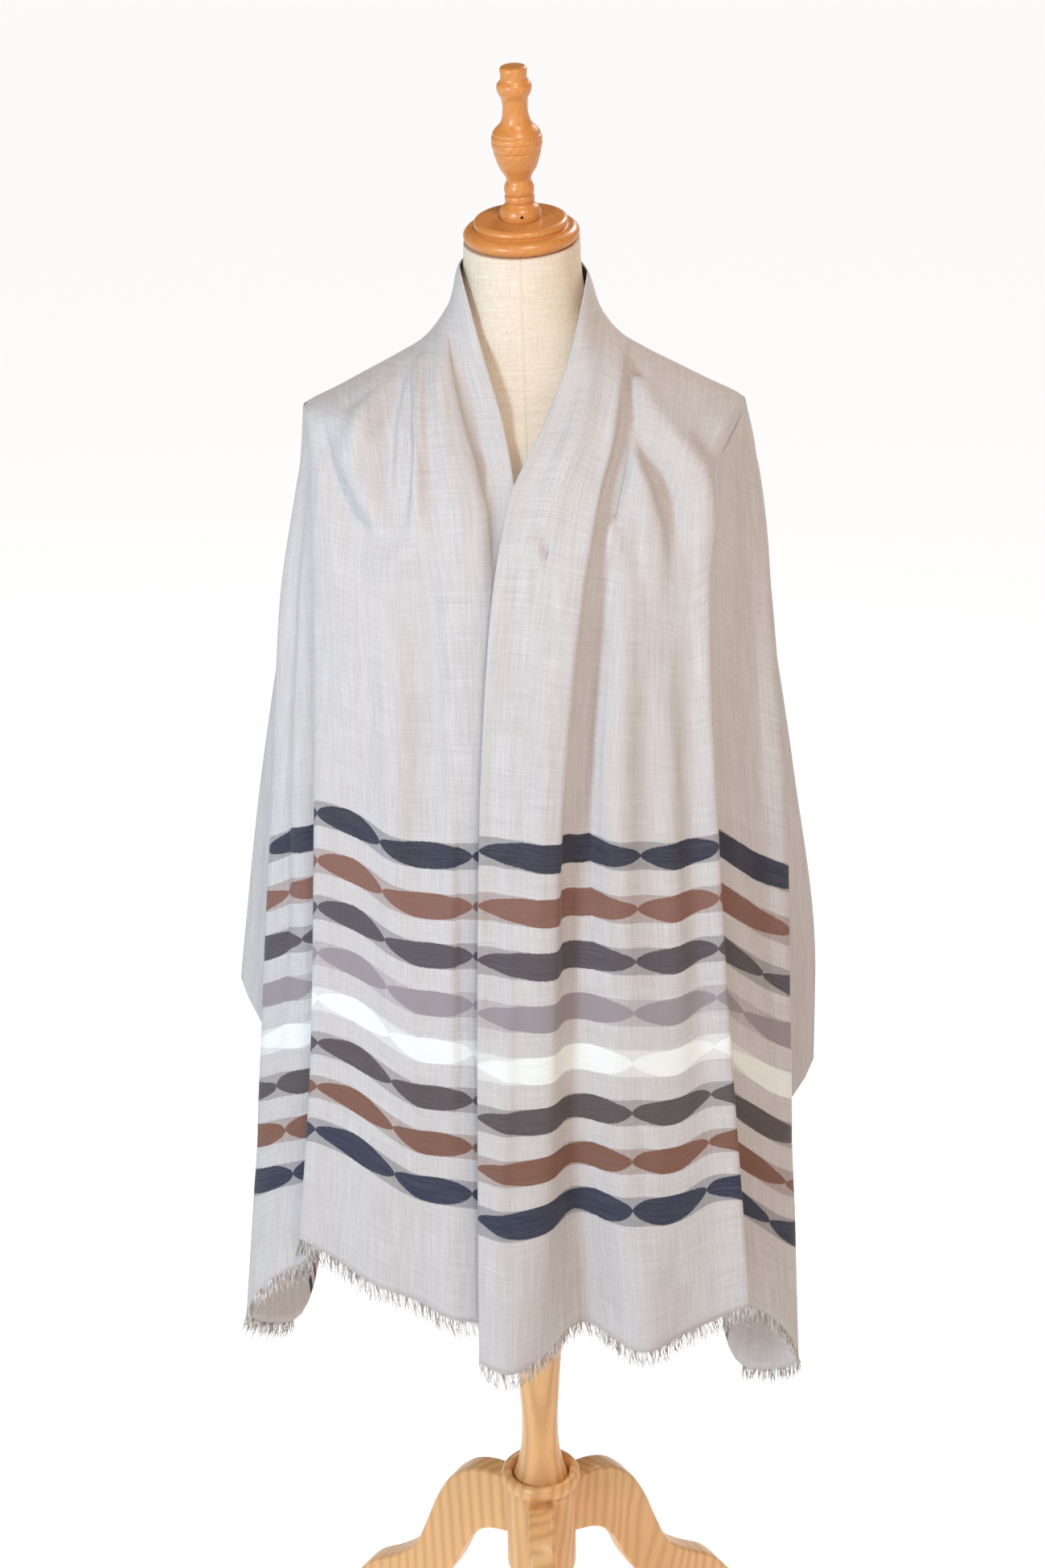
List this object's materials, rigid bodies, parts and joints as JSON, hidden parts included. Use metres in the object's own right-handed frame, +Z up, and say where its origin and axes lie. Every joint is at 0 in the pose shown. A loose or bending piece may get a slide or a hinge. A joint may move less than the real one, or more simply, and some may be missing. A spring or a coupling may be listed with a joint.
{
  "type": "modal shawl draped on a limbless dress form with a tripod stand",
  "caption": "Rectangular fringed shawl laid over the shoulders of a limbless linen dress form on a turned wooden tripod stand, ends hanging in front, one lapped over the other",
  "frame": {"origin": "on the floor, under the middle of the bounding box", "axes": "+Z up, -Y towards the front where the shawl's ends hang, +X to the right as seen from the front"},
  "size_m": [0.5556, 0.4822, 1.598],
  "materials": {
    "shawl_cloth": "soft slubbed plain weave, pale silver grey with darker wave stripes near both ends",
    "form_linen": "plain cream linen, stretched smooth",
    "varnished_wood": "honey-coloured satin varnish",
    "stand_wood": "pale wood with clear satin varnish"
  },
  "bodies": {
    "root": {"shawl": "shawl_cloth", "fringe_left": "shawl_cloth", "fringe_right": "shawl_cloth", "form_torso": "form_linen", "neck_cap": "varnished_wood", "finial": "varnished_wood", "pole": "stand_wood", "ring": "stand_wood", "hub": "stand_wood", "leg_1": "stand_wood", "leg_2": "stand_wood", "leg_3": "stand_wood"}
  },
  "joints": []
}
